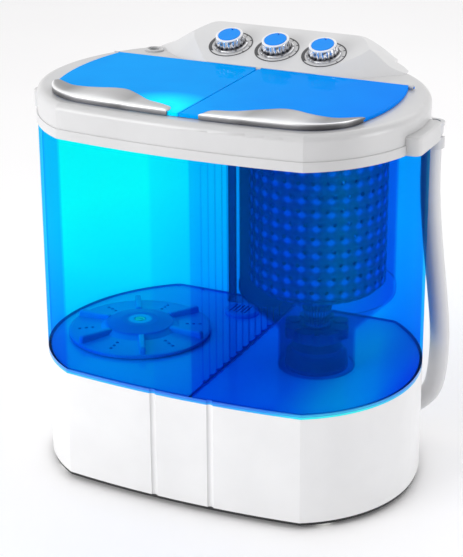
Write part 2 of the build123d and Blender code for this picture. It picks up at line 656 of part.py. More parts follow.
def motor_springs():
    """Three springs between the base plate and the spin motor's lugs, as bellows-like stacks."""
    springs = []
    for a in MOTOR_LUG_ANGLES:
        turn = Pos(SPIN_X, AXIS_Y) * Rot(0, 0, a) * Pos(MOTOR_LUG_OUT, 0, 0)
        rings = [Pos(0, 0, z) * Torus(6.5, 1.3) for z in (10.4, 14.6, 18.8, 23.0, 27.2, 30.6)]
        post = Pos(0, 0, BASE_BOTTOM) * Cylinder(5.6, MOTOR_LUG_Z - BASE_BOTTOM, align=BASE)
        springs.append(turn * (post + rings))
    return springs


DRUM_R = 38.0
BRAKE_GAP = 2.5
BRAKE_PIVOT = (SPIN_X + 40.0, AXIS_Y + DRUM_R + BRAKE_GAP + 12.0)


def brake_lever():
    """Lever with a friction pad that is pulled off the brake drum as the spin lid closes."""
    px, py = BRAKE_PIVOT
    arm = block(px - 72, px, py - 5, py + 5, 108, 114) + cyl(9, 108, 114, px, py)
    pad = block(SPIN_X - 8, SPIN_X + 8, py - 12, py - 5, 106, 118)
    return arm + pad - cyl(3.05, 100, 120, px, py)


def lever_pin():
    px, py = BRAKE_PIVOT
    return cyl(3.0, 100, TUB_BOTTOM, px, py) + cyl(6, 100, 104, px, py)


# ---- water path -----------------------------------------------------------------------
CHANNEL_DEPTH = 22.0


def filter_channel():
    """Overflow channel up the rear wall of the wash tub, open at the front near its top."""
    rear = REAR_Y - TUB_WALL
    front = rear - CHANNEL_DEPTH
    shape = block(-70, -2, front, rear, TUB_BOTTOM + FLOOR_T, 420)
    shape -= block(-67, -5, front + 3, rear + 1, TUB_BOTTOM + FLOOR_T - 1, 417)
    shape -= block(-60, -12, front - 8, front + 12, 330, 404)
    return shape


def lint_filter():
    """Framed lint bag that slides in the channel's window."""
    rear = REAR_Y - TUB_WALL
    front = rear - CHANNEL_DEPTH
    frame = block(-59.5, -12.5, front - 4, front + 6, 331, 403)
    frame -= block(-55, -17, front - 5, front + 7, 336, 398)
    bag = block(-55.5, -16.5, front - 3, front + 4.5, 335.5, 398.5)
    bag -= block(-54, -18, front - 1.5, front + 5, 337, 397)
    slots = [block(x, x + 2, front - 4, front, z, z + 12)
             for x in range(-52, -20, 5) for z in range(339, 392, 15)]
    return frame + bag - slots


def drain_grille():
    """Slotted cover over the drain in the wash tub's floor."""
    z = TUB_BOTTOM + FLOOR_T
    profile = [(0, z + 5), (20, z + 5), (22, z + 3), (22, z), (20, z), (20, z + 3), (0, z + 3)]
    shape = lathe(profile, VALVE_X, VALVE_Y)
    slots = [block(VALVE_X + x, VALVE_X + x + 2.4, VALVE_Y - 12, VALVE_Y + 12, z, z + 8)
             for x in range(-13, 12, 5)]
    return shape - slots


def drain_valve_body():
    z = TUB_BOTTOM
    shape = tube(22, 18, 60, z, VALVE_X, VALVE_Y) + cyl(22, 57, 60, VALVE_X, VALVE_Y)
    shape -= cyl(5.0, 50, 62, VALVE_X, VALVE_Y)
    shape += tube(18.1, 12.8, z - 3, z, VALVE_X, VALVE_Y)
    shape -= rod(PIPE_START, PIPE_JOIN, PIPE_R)
    return shape


PIPE_START = Vector(VALVE_X, VALVE_Y, 78)
PIPE_JOIN = along_outlet(-14.5)


def valve_plunger():
    """Plug and stem of the drain valve."""
    return (cyl(14.5, 118, 124, VALVE_X, VALVE_Y) + cyl(9, 112, 118, VALVE_X, VALVE_Y)
            + cyl(4.8, 44, 112, VALVE_X, VALVE_Y))


def drain_pipe():
    """Pipe inside the base from the valve to the outlet."""
    direction = (PIPE_JOIN - PIPE_START).normalized()
    start = PIPE_START + direction * 18.3
    outer = rod(start, PIPE_JOIN, PIPE_R)
    return outer - rod(start - direction, PIPE_JOIN + direction, PIPE_R - 2)


def drain_outlet():
    """Spigot through the base wall; the hose pushes over its outer end."""
    body = rod(along_outlet(-13), along_outlet(OUTLET_REACH), PIPE_R)
    collar = rod(along_outlet(OUTLET_REACH - 3), along_outlet(OUTLET_REACH), HOSE_D / 2 + 0.4)
    ball = Pos(*PIPE_JOIN) * Sphere(PIPE_R + 1.1)
    shape = body + collar + ball
    shape -= rod(along_outlet(-14), along_outlet(OUTLET_REACH + 1), PIPE_R - 2)
    shape -= rod(PIPE_START, PIPE_JOIN, PIPE_R)
    return shape


HOSE_ROUTE = [
    tuple(along_outlet(OUTLET_REACH)),
    tuple(along_outlet(OUTLET_REACH + 15)),
    (204.6, 138.6, 67.0),
    (210.6, 135.0, 86.0),
    (214.4, 131.4, 113.0),
    (215.6, 129.4, 152.0),
    (209.8, 128.6, 205.0),
    (202.4, 128.2, 262.0),
    (196.8, 128.0, 318.0),
    (195.4, 128.8, 362.0),
    (196.0, 129.8, 400.0),
]


def hose_radii(points):
    radii = []
    for a, b, c in zip(points, points[1:], points[2:]):
        first = Vector(*b) - Vector(*a)
        second = Vector(*c) - Vector(*b)
        half_turn = math.radians(first.get_angle(second)) / 2
        radii.append(0.45 * min(first.length, second.length) / math.tan(half_turn))
    return radii


def hose_path():
    return FilletPolyline(*HOSE_ROUTE, radius=hose_radii(HOSE_ROUTE))


def drain_hose():
    path = hose_path()
    section = Plane(path @ 0, z_dir=path % 0) * Circle(HOSE_D / 2)
    return sweep(section, path=path)


def hose_end_cuff():
    """Stiff mouthpiece on the hose's free end."""
    top = Vector(*HOSE_ROUTE[-1])
    direction = (top - Vector(*HOSE_ROUTE[-2])).normalized()
    cuff = rod(top, top + direction * 14, HOSE_D / 2 + 0.8)
    lip = rod(top + direction * 10, top + direction * 14, HOSE_D / 2 + 2.0)
    return cuff + lip - rod(top - direction, top + direction * 20, HOSE_D / 2 - 3)


CLIP_Z = 390.0
CLIP_HALF = 7.0


def hose_clip():
    """C-shaped clip on the rear corner of the tub that holds the hose upright."""
    low, high = Vector(*HOSE_ROUTE[-2]), Vector(*HOSE_ROUTE[-1])
    centre = low + (high - low) * ((CLIP_Z - low.Z) / (high.Z - low.Z))
    x, y = centre.X, centre.Y
    angle = math.degrees(math.atan2(y - WIDEST_Y, x - REAR_SIDE_X))
    bore = HOSE_D / 2 + 0.6
    ring = tube(bore + 2.6, bore, CLIP_Z - CLIP_HALF, CLIP_Z + CLIP_HALF)
    mouth = block(0, 28, -8.5, 8.5, CLIP_Z - 15, CLIP_Z + 15)
    back = block(-17.5, -11.5, -8, 8, CLIP_Z - CLIP_HALF, CLIP_Z + CLIP_HALF)
    shape = Pos(x, y, 0) * Rot(0, 0, angle) * (Rot(0, 0, -90) * ring - mouth + back)
    shape = shape - prism(PLAN, CLIP_Z - 20, CLIP_Z + 20)
    return shape - cyl(bore, CLIP_Z - 20, CLIP_Z + 20, x, y)


def power_cord_gland():
    """Ribbed gland in the rear of the base, where the mains lead comes out."""
    at = Pos(CORD_X, REAR_Y - 7, CORD_Z) * Rot(-90, 0, 0)
    shape = at * Cylinder(GLAND_R, 14, align=BASE)
    shape += at * Pos(0, 0, 7.2) * Cylinder(11, 3, align=BASE)
    return shape - at * Pos(0, 0, -2) * Cylinder(3.6, 30, align=BASE)


def motor_capacitor():
    return block(-150, -112, 84, 104, 60, 96) + block(-156, -106, 84, 88, BASE_BOTTOM, 60.1)


def switch_box():
    """Tray under the deck that keeps water off the timers."""
    shape = block(-118, 118, 86, 142, 438, DECK_Z - TOP_WALL)
    return shape - block(-115.5, 115.5, 88.5, 139.5, 440.5, DECK_Z)


COVER_BACK_Y = 155.6


def console_back_cover():
    """Rear skirt under the console's overhang."""
    shape = block(-140, 140, REAR_Y + 0.2, COVER_BACK_Y, 444, DECK_Z - 0.2)
    return shape - block(-137.5, 137.5, REAR_Y - 1, COVER_BACK_Y - 2.2, 446.5, DECK_Z + 1)


FRAME_SCREW_X = (-120.0, -60.0, 0.0, 60.0, 120.0)


def frame_screw(x):
    turn = Pos(x, COVER_BACK_Y, 455) * Rot(-90, 0, 0)
    head = turn * Cylinder(3.4, 1.4, align=BASE)
    slot = turn * Pos(0, 0, 1.3) * Box(4.6, 0.8, 1.4)
    return head - slot


# ---- write every node -----------------------------------------------------------------
save("base_housing", base_housing())
save("bottom_plate", bottom_plate())
save("housing_screws", Compound([bottom_plate_screw(x, y) for x, y in SCREW_SPOTS]
                                + [frame_screw(x) for x in FRAME_SCREW_X]))
save("feet", Compound([foot(x, y) for x, y in FEET]))
save("tub_shell", tub_shell())
save("spin_chamber", spin_chamber())
save("tub_rim_ring", tub_rim_ring())
save("top_frame", top_frame())
save("water_inlet", water_inlet())
save("control_panel", control_panel())
save("console_back_cover", console_back_cover())
save("switch_box", switch_box())
save("dial_rings", Compound([dial_ring(x) for x in KNOB_X.values()]))
for name, x in KNOB_X.items():
    save(f"{name}_knob", knob(x))
    save(f"{name}_knob_cap", knob_cap(x))
    save(f"{name}_shaft", knob_shaft(x))
save("wash_timer", timer_body(KNOB_X["wash_timer"], 44, 22))
save("selector_switch", timer_body(KNOB_X["selector"], 34, 16))
save("spin_timer", timer_body(KNOB_X["spin_timer"], 44, 22))

spin_lid = lid()
save("spin_lid", spin_lid)
save("wash_lid", mirror(spin_lid, about=Plane.YZ))
save("spin_lid_handle", lid_handle(24, 189))
save("wash_lid_handle", mirror(lid_handle(14, 189), about=Plane.YZ))

save("pulsator", pulsator())
save("pulsator_screw", pulsator_screw())
save("pulsator_shaft", pulsator_shaft())
save("pulsator_bearing", pulsator_bearing())
save("pulsator_pulley", pulsator_pulley())
save("drive_belt", drive_belt())
save("wash_motor", wash_motor())
save("wash_motor_bracket", wash_motor_bracket())
save("wash_motor_shaft", wash_motor_shaft())
save("wash_motor_pulley", wash_motor_pulley())
save("motor_capacitor", motor_capacitor())

save("spin_basket", spin_basket())
save("basket_coupling", basket_coupling())
save("spin_shaft", spin_shaft())
save("brake_drum", brake_drum())
save("spin_shaft_seal", spin_shaft_seal())
save("spin_motor", spin_motor())
save("motor_springs", Compound(motor_springs()))
save("brake_lever", brake_lever())
save("lever_pin", lever_pin())

save("filter_channel", filter_channel())
save("lint_filter", lint_filter())
save("drain_grille", drain_grille())
save("drain_valve_body", drain_valve_body())
save("valve_plunger", valve_plunger())
save("drain_pipe", drain_pipe())
save("drain_outlet", drain_outlet())
save("drain_hose", drain_hose())
save("hose_end_cuff", hose_end_cuff())
save("hose_clip", hose_clip())
save("power_cord_gland", power_cord_gland())

path = hose_path()
print("hose radii", [round(r, 1) for r in hose_radii(HOSE_ROUTE)])
print("hose length", round(path.length, 1), "section x length", round(math.pi * HOSE_D ** 2 / 4 * path.length))
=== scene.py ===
import math

import bmesh
import bpy
from mathutils import Matrix, Vector


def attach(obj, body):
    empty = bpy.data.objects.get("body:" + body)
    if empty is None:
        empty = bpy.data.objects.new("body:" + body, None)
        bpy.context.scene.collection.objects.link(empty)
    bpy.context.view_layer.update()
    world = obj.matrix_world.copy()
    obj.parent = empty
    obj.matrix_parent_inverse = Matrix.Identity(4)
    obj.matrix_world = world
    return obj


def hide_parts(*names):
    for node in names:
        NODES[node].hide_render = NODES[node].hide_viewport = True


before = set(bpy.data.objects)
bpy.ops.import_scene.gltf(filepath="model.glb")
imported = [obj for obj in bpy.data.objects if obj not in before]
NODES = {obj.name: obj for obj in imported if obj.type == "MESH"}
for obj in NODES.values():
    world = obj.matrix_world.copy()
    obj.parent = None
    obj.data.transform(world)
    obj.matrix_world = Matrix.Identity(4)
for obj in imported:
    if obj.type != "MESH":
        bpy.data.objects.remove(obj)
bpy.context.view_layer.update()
MM = 0.001


# ---- camera -------------------------------------------------------------------------
CAMERA_PLACE = (0.83602, -1.76197, 1.00112)
CAMERA_AZIMUTH = 25.4903
CAMERA_ELEVATION = 21.5697
CAMERA_ROLL = -0.3195
CAMERA_LENS = 113.95
SENSOR_WIDTH = 36


def add_camera():
    """Camera beyond the front right corner, looking down at the lids."""
    azimuth = math.radians(CAMERA_AZIMUTH)
    elevation = math.radians(CAMERA_ELEVATION)
    roll = math.radians(CAMERA_ROLL)
    level = math.cos(elevation)
    right = Vector((math.cos(azimuth), math.sin(azimuth), 0))
    ahead = Vector((-math.sin(azimuth) * level, math.cos(azimuth) * level, -math.sin(elevation)))
    up = right.cross(ahead)
    rolled_right = math.cos(roll) * right + math.sin(roll) * up
    rolled_up = math.cos(roll) * up - math.sin(roll) * right
    data = bpy.data.cameras.new("camera")
    data.lens = CAMERA_LENS
    data.sensor_width = SENSOR_WIDTH
    camera = bpy.data.objects.new("camera", data)
    bpy.context.scene.collection.objects.link(camera)
    turn = Matrix((rolled_right, rolled_up, -ahead)).transposed().to_4x4()
    camera.matrix_world = Matrix.Translation(Vector(CAMERA_PLACE)) @ turn
    bpy.context.scene.camera = camera


add_camera()


# ---- material helpers ---------------------------------------------------------------
def grey(level):
    return (level, level, level)


def shaded(colour, factor):
    return tuple(min(1.0, c * factor) for c in colour)


def new_material(name):
    mat = bpy.data.materials.new(name)
    mat.use_nodes = True
    nt = mat.node_tree
    return mat, nt, nt.nodes["Principled BSDF"]


def noise(nt, scale, detail=4.0, rough=0.55):
    coord = nt.nodes.new("ShaderNodeTexCoord")
    tex = nt.nodes.new("ShaderNodeTexNoise")
    tex.inputs["Scale"].default_value = scale
    tex.inputs["Detail"].default_value = detail
    tex.inputs["Roughness"].default_value = rough
    nt.links.new(coord.outputs["Object"], tex.inputs["Vector"])
    return tex.outputs["Fac"]


def ramp(nt, source, stops):
    """Colour looked up from a value, with stops of (place, colour)."""
    node = nt.nodes.new("ShaderNodeValToRGB")
    elements = node.color_ramp.elements
    while len(elements) < len(stops):
        elements.new(0.5)
    for element, (place, colour) in zip(elements, stops):
        element.position = place
        element.color = (*colour, 1)
    nt.links.new(source, node.inputs["Fac"])
    return node.outputs["Color"]


def spread(nt, source, low, high):
    """A value from 0 to 1, spread over another range."""
    node = nt.nodes.new("ShaderNodeMapRange")
    node.inputs["To Min"].default_value = low
    node.inputs["To Max"].default_value = high
    nt.links.new(source, node.inputs["Value"])
    return node.outputs["Result"]


def bump(nt, bsdf, source, strength, distance):
    node = nt.nodes.new("ShaderNodeBump")
    node.inputs["Strength"].default_value = strength
    node.inputs["Distance"].default_value = distance
    nt.links.new(source, node.inputs["Height"])
    nt.links.new(node.outputs["Normal"], bsdf.inputs["Normal"])


def math_node(nt, operation, *values):
    """A maths node on numbers and other nodes' values."""
    node = nt.nodes.new("ShaderNodeMath")
    node.operation = operation
    for socket, value in zip(node.inputs, values):
        if isinstance(value, (int, float)):
            socket.default_value = value
        else:
            nt.links.new(value, socket)
    return node.outputs["Value"]


def share_of(nt, length, reach):
    """A length in metres as a share of a reach in millimetres."""
    return math_node(nt, "MULTIPLY", length, 1 / (reach * MM))


def axes(nt):
    """The place on the piece along X, Y and Z, in metres."""
    coord = nt.nodes.new("ShaderNodeTexCoord")
    parts = nt.nodes.new("ShaderNodeSeparateXYZ")
    nt.links.new(coord.outputs["Object"], parts.inputs["Vector"])
    return parts.outputs


def axis_offset(nt, centre):
    """X and Y from an upright axis, whose centre is in millimetres, and the height Z."""
    own = axes(nt)
    x = math_node(nt, "SUBTRACT", own["X"], centre[0] * MM)
    y = math_node(nt, "SUBTRACT", own["Y"], centre[1] * MM)
    return x, y, own["Z"]


def place_ramp(nt, axis, low, high, stops):
    """Colour that changes along one axis of the piece, between two places in millimetres."""
    span = nt.nodes.new("ShaderNodeMapRange")
    span.inputs["From Min"].default_value = low * MM
    span.inputs["From Max"].default_value = high * MM
    nt.links.new(axes(nt)[axis], span.inputs["Value"])
    return ramp(nt, span.outputs["Result"], stops)


def blend_colours(nt, mode, first, second, factor=None):
    node = nt.nodes.new("ShaderNodeMix")
    node.data_type = "RGBA"
    node.blend_type = mode
    node.inputs["Factor"].default_value = 1.0
    if factor:
        nt.links.new(factor, node.inputs["Factor"])
    nt.links.new(first, node.inputs["A"])
    nt.links.new(second, node.inputs["B"])
    return node.outputs["Result"]


def paint(nt, bsdf, colour, rough):
    nt.links.new(colour, bsdf.inputs["Base Color"])
    nt.links.new(rough, bsdf.inputs["Roughness"])


def let_through(nt, bsdf):
    """Mixes the surface with a clear one. Gives the sockets for the clear colour and the surface's share."""
    clear = nt.nodes.new("ShaderNodeBsdfTransparent")
    mix = nt.nodes.new("ShaderNodeMixShader")
    nt.links.new(clear.outputs["BSDF"], mix.inputs[1])
    nt.links.new(bsdf.outputs["BSDF"], mix.inputs[2])
    nt.links.new(mix.outputs["Shader"], nt.nodes["Material Output"].inputs["Surface"])
    return clear.inputs["Color"], mix.inputs["Fac"]


# ---- families of material -----------------------------------------------------------
METAL_STREAKS = (40.0, 40.0, 900.0)


def moulded(name, colour, rough=0.3, coat=0.0, grain=1.0, specular=0.5):
    """Injection-moulded plastic: faint tone drift, uneven gloss and a fine skin grain."""
    mat, nt, bsdf = new_material(name)
    tone = ramp(nt, noise(nt, 9.0, 3.0), [(0.3, shaded(colour, 0.95)), (0.7, shaded(colour, 1.04))])
    paint(nt, bsdf, tone, spread(nt, noise(nt, 45.0, 6.0), rough * 0.8, rough * 1.25))
    bump(nt, bsdf, noise(nt, 1400.0, 2.0), 0.06 * grain, 0.0002)
    bsdf.inputs["Coat Weight"].default_value = coat
    bsdf.inputs["Coat Roughness"].default_value = 0.08
    bsdf.inputs["Specular IOR Level"].default_value = specular
    return mat


def metal(name, colour, rough=0.3):
    """Drawn or turned metal with fine streaks along one axis."""
    mat, nt, bsdf = new_material(name)
    bsdf.inputs["Metallic"].default_value = 1.0
    coord = nt.nodes.new("ShaderNodeTexCoord")
    stretch = nt.nodes.new("ShaderNodeMapping")
    stretch.inputs["Scale"].default_value = METAL_STREAKS
    nt.links.new(coord.outputs["Object"], stretch.inputs["Vector"])
    lines = nt.nodes.new("ShaderNodeTexNoise")
    lines.inputs["Scale"].default_value = 1.0
    lines.inputs["Detail"].default_value = 6.0
    nt.links.new(stretch.outputs["Vector"], lines.inputs["Vector"])
    streak = lines.outputs["Fac"]
    tone = ramp(nt, streak, [(0.25, shaded(colour, 0.8)), (0.75, shaded(colour, 1.08))])
    paint(nt, bsdf, tone, spread(nt, streak, rough * 0.7, rough * 1.4))
    bump(nt, bsdf, streak, 0.1, 0.0002)
    return mat


def rubber(name, colour, rough=0.6):
    """Rubber with a film of paler dust and fine pores."""
    mat, nt, bsdf = new_material(name)
    dust = noise(nt, 60.0, 8.0)
    tone = ramp(nt, dust, [(0.35, colour), (0.75, tuple(c + 0.02 for c in colour))])
    paint(nt, bsdf, tone, spread(nt, dust, rough * 0.85, rough * 1.15))
    bump(nt, bsdf, noise(nt, 900.0, 3.0), 0.15, 0.0003)
    return mat


def see_through(name, passed, body, share):
    """Tinted clear plastic: passed is the colour of what shows through, body the plastic's own blue."""
    mat, nt, bsdf = new_material(name)
    clear_colour, surface_share = let_through(nt, bsdf)
    clear_colour.default_value = (*passed, 1)
    surface_share.default_value = share
    flow = noise(nt, 7.0, 2.0)
    tone = ramp(nt, flow, [(0.3, shaded(body, 0.92)), (0.7, shaded(body, 1.06))])
    paint(nt, bsdf, tone, spread(nt, flow, 0.096, 0.156))
    bsdf.inputs["Specular IOR Level"].default_value = 0.6
    bump(nt, bsdf, noise(nt, 30.0, 2.0), 0.05, 0.0008)
    return mat


# ---- materials of one piece ---------------------------------------------------------
LID_PAINTED_CYAN_AT = (-30, -122, 468.5)
LID_PAINTED_CYAN_REACH = 100
TUB_HALF_W = 230
TUB_FOOT_Z = 139
TUB_TOP_Z = 426
TUB_CORNER = (-149, -66)
BASKET_AXIS = (110, -8)
BASKET_COLUMNS = 30
BASKET_ROW_PITCH = 16
BASKET_ROW_Z = 256
GRIP_PAINTED_SWEEP_REACH = 200
PULSATOR_AXIS = (-125, -8)
PULSATOR_REACH = 100


def lid_plastic():
    """Glossy azure lid with painted light: lighter to the left, and painted cyan near the seam's front where
    the wash tub would shine through.
    """
    mat, nt, bsdf = new_material("lid_blue")
    # Painted light: the blue is lighter towards the left and darker towards the right.
    along = place_ramp(nt, "X", -200, 200, [
        (0.0, (0.0, 0.36, 0.95)), (0.45, (0.0, 0.35, 0.95)), (1.0, (0.0, 0.24, 0.95))])
    # Painted light: cyan that fades with distance from a point near the front of the seam, mostly on the
    # wash side, standing in for the bright tub seen through the lid.
    coord = nt.nodes.new("ShaderNodeTexCoord")
    distance = nt.nodes.new("ShaderNodeVectorMath")
    distance.operation = "DISTANCE"
    distance.inputs[1].default_value = [v * MM for v in LID_PAINTED_CYAN_AT]
    nt.links.new(coord.outputs["Object"], distance.inputs[0])
    away = share_of(nt, distance.outputs["Value"], LID_PAINTED_CYAN_REACH)
    painted_seam_cyan = ramp(nt, away, [(0.2, (0.0, 0.62, 0.62)), (0.62, grey(0.0))])
    painted_cyan_mask = place_ramp(nt, "X", -3, 0, [(0.0, grey(1.0)), (1.0, grey(0.12))])
    painted_light_colour = blend_colours(nt, "ADD", along, blend_colours(nt, "MULTIPLY", painted_seam_cyan, painted_cyan_mask))
    cloud = noise(nt, 14.0, 2.0)
    veil = ramp(nt, cloud, [(0.35, (0.92, 0.93, 0.97)), (0.65, grey(1.0))])
    paint(nt, bsdf, blend_colours(nt, "MULTIPLY", painted_light_colour, veil), spread(nt, cloud, 0.05, 0.09))
    bsdf.inputs["Specular IOR Level"].default_value = 0.0
    bsdf.inputs["Coat Weight"].default_value = 0.08
    bsdf.inputs["Coat Roughness"].default_value = 0.02
    return mat


def tub_see_through_colour_and_shade(nt):
    """Colour of what shows through, with painted light and shade: paler over the wash side, deeper at the
    foot and the left corner.
    """
    # Painted light across the width: paler over the wash side and in a band near the spin side's edge,
    # deeper at the far right.
    across = place_ramp(nt, "X", -TUB_HALF_W, TUB_HALF_W, [
        (0.0, (0.16, 1.0, 1.0)), (0.43, (0.16, 1.0, 1.0)), (0.44, (0.13, 0.93, 1.0)),
        (0.53, (0.12, 0.88, 1.0)), (0.56, (0.10, 0.82, 1.0)), (0.80, (0.10, 0.80, 1.0)),
        (0.90, (0.12, 0.98, 1.0)), (0.96, (0.12, 0.84, 1.0)), (1.0, (0.06, 0.55, 1.0))])
    # Painted shade: deeper and more purple towards the foot.
    height = place_ramp(nt, "Z", TUB_FOOT_Z, TUB_TOP_Z, [
        (0.0, (0.9, 0.75, 0.97)), (0.05, (0.95, 0.84, 1.0)), (0.30, (0.98, 0.93, 1.0)),
        (0.50, grey(1.0)), (1.0, grey(1.0))])
    # Painted shade in the front left corner.
    own = axes(nt)
    left = math_node(nt, "LESS_THAN", own["X"], TUB_CORNER[0] * MM)
    front = math_node(nt, "LESS_THAN", own["Y"], TUB_CORNER[1] * MM)
    corner = ramp(nt, math_node(nt, "MULTIPLY", left, front), [(0.0, grey(1.0)), (1.0, (0.9, 0.74, 1.0))])
    dye_and_shade = blend_colours(nt, "MULTIPLY", across, height)
    return blend_colours(nt, "MULTIPLY", dye_and_shade, corner)


def tub_blue_with_painted_glare(nt, flow):
    """The tub plastic's blue, with painted light across it: a painted bright edge at the spin side and a
    lighter left end, and thin bands round the foot.
    """
    # Painted light: cyan glare near the spin side's edge and lighter blue at the left end.
    across = place_ramp(nt, "X", -TUB_HALF_W, TUB_HALF_W, [
        (0.0, (0.0, 0.60, 1.0)), (0.35, (0.0, 0.42, 1.0)), (0.62, (0.0, 0.34, 0.95)),
        (0.74, (0.0, 0.46, 1.0)), (0.84, (0.02, 0.98, 1.0)), (0.94, (0.02, 0.98, 1.0)),
        (1.0, (0.0, 0.5, 1.0))])
    foot = place_ramp(nt, "Z", TUB_FOOT_Z, TUB_FOOT_Z + 6, [
        (0.0, grey(1.0)), (0.35, grey(1.0)), (0.45, (0.6, 0.45, 0.85)), (0.62, (0.6, 0.45, 0.85)),
        (0.66, grey(1.0)), (0.672, grey(1.0)), (0.70, (0.6, 0.40, 0.85))])
    drift = ramp(nt, flow, [(0.3, (0.9, 0.9, 0.95)), (0.7, grey(1.0))])
    tone = blend_colours(nt, "MULTIPLY", across, drift)
    return blend_colours(nt, "MULTIPLY", tone, foot)


def tub_plastic():
    """Clear blue tub wall, nearly opaque in a thin strip at the foot."""
    mat, nt, bsdf = new_material("tub_clear_blue")
    clear_colour, surface_share = let_through(nt, bsdf)
    share = place_ramp(nt, "Z", TUB_FOOT_Z, TUB_FOOT_Z + 14, [
        (0.0, grey(0.9)), (0.40, grey(0.9)), (0.41, grey(0.02))])
    nt.links.new(tub_see_through_colour_and_shade(nt), clear_colour)
    nt.links.new(share, surface_share)
    flow = noise(nt, 7.0, 2.0)
    paint(nt, bsdf, tub_blue_with_painted_glare(nt, flow), spread(nt, flow, 0.10, 0.16))
    bsdf.inputs["Specular IOR Level"].default_value = 0.6
    return mat


def basket_plastic():
    """Dark blue drum with rows of pressed bumps round its wall; the bumps carry painted shade in their
    hollows and painted highlights on their crests, and the right side is painted lighter teal.
    """
    mat, nt, bsdf = new_material("basket_blue")
    x, y, z = axis_offset(nt, BASKET_AXIS)
    turn = math_node(nt, "MULTIPLY", math_node(nt, "ARCTAN2", y, x), float(BASKET_COLUMNS))
    above = math_node(nt, "SUBTRACT", z, BASKET_ROW_Z * MM)
    climb = math_node(nt, "MULTIPLY", above, 2 * math.pi / (BASKET_ROW_PITCH * MM))
    swell = math_node(nt, "MULTIPLY_ADD", math_node(nt, "SINE", turn), 0.22, 0.5)
    relief = math_node(nt, "MULTIPLY_ADD", math_node(nt, "SINE", climb), 0.28, swell)
    # Painted shade and highlight: dark navy in the hollows of the bumps, bright blue on their crests.
    tone = ramp(nt, relief, [
        (0.34, (0.0, 0.006, 0.16)), (0.64, (0.0, 0.02, 0.28)), (0.90, (0.02, 0.28, 0.80))])
    # Painted light: teal added towards the right side of the drum.
    side = place_ramp(nt, "X", 100, 190, [(0.3, grey(0.0)), (0.8, (0.0, 0.28, 0.06))])
    paint(nt, bsdf, blend_colours(nt, "ADD", tone, side), spread(nt, relief, 0.16, 0.26))
    bump(nt, bsdf, relief, 1.0, 0.006)
    return mat


def brushed_silver():
    """Silver lacquer with painted reflections: painted dark where the grip turns down and a painted
    highlight along its rim.
    """
    mat, nt, bsdf = new_material("silver_lacquer")
    # Painted shade and highlight by height: dark on the down-turned lip, mid grey in the dish, bright at the
    # rim.
    level = place_ramp(nt, "Z", 466.6, 473.8, [
        (0.0, (0.10, 0.10, 0.11)), (0.52, (0.20, 0.20, 0.21)), (0.66, (0.34, 0.34, 0.35)),
        (0.76, (0.56, 0.56, 0.57)), (0.90, (0.86, 0.86, 0.87)), (0.98, (0.97, 0.97, 0.98))])
    grain = noise(nt, 8.0, 2.0)
    # Painted reflections: lighter and darker stretches along the grip, away from the middle.
    reach = share_of(nt, math_node(nt, "ABSOLUTE", axes(nt)["X"]), GRIP_PAINTED_SWEEP_REACH)
    painted_sweep = ramp(nt, reach, [
        (0.10, grey(1.0)), (0.30, grey(0.95)), (0.37, grey(0.55)), (0.46, grey(0.75)),
        (0.60, grey(1.0)), (0.68, grey(0.95)), (0.78, grey(0.42)), (0.95, grey(0.5))])
    # Painted highlight: the rim turns white.
    rim = place_ramp(nt, "Z", 472.5, 473.4, [(0.0, grey(0.0)), (1.0, grey(1.0))])
    white = ramp(nt, grain, [(0.3, grey(0.95)), (0.7, grey(1.0))])
    veil = blend_colours(nt, "MIX", painted_sweep, white, rim)
    paint(nt, bsdf, blend_colours(nt, "MULTIPLY", level, veil), spread(nt, grain, 0.30, 0.36))
    bsdf.inputs["Metallic"].default_value = 0.35
    return mat


def knob_chrome():
    """Chrome skirt with painted reflections: a painted bright flange, painted dark reflections in the flutes
    and a painted dark foot.
    """
    mat, nt, bsdf = new_material("chrome")
    # Painted reflections by height: bright at the flange, dark just above it, then bright again up the wall.
    level = place_ramp(nt, "Z", 0.8, 14.0, [
        (0.0, (0.92, 0.92, 0.93)), (0.14, (0.90, 0.90, 0.92)), (0.17, (0.04, 0.04, 0.045)),
        (0.30, (0.20, 0.20, 0.21)), (0.42, (0.72, 0.72, 0.74)), (1.0, (0.92, 0.92, 0.94))])
    # Painted dark reflections in small spots.
    painted_dark_patch = noise(nt, 130.0, 1.0)
    veil = ramp(nt, painted_dark_patch, [(0.40, (0.35, 0.35, 0.36)), (0.48, grey(1.0))])
    paint(nt, bsdf, blend_colours(nt, "MULTIPLY", level, veil), spread(nt, painted_dark_patch, 0.08, 0.16))
    bsdf.inputs["Metallic"].default_value = 0.8
    return mat


def pulsator_plastic():
    """Azure disc with a darker hub ring and a lighter boss at the middle."""
    mat, nt, bsdf = new_material("pulsator_blue")
    x, y, _ = axis_offset(nt, PULSATOR_AXIS)
    squared = math_node(nt, "MULTIPLY_ADD", y, y, math_node(nt, "MULTIPLY", x, x))
    radius = share_of(nt, math_node(nt, "SQRT", squared), PULSATOR_REACH)
    tone = ramp(nt, radius, [
        (0.12, (0.03, 0.42, 0.90)), (0.16, (0.0, 0.07, 0.62)), (0.40, (0.0, 0.09, 0.66)),
        (0.44, (0.01, 0.30, 0.80)), (0.88, (0.01, 0.24, 0.74))])
    paint(nt, bsdf, tone, spread(nt, noise(nt, 30.0, 3.0), 0.2, 0.3))
    return mat


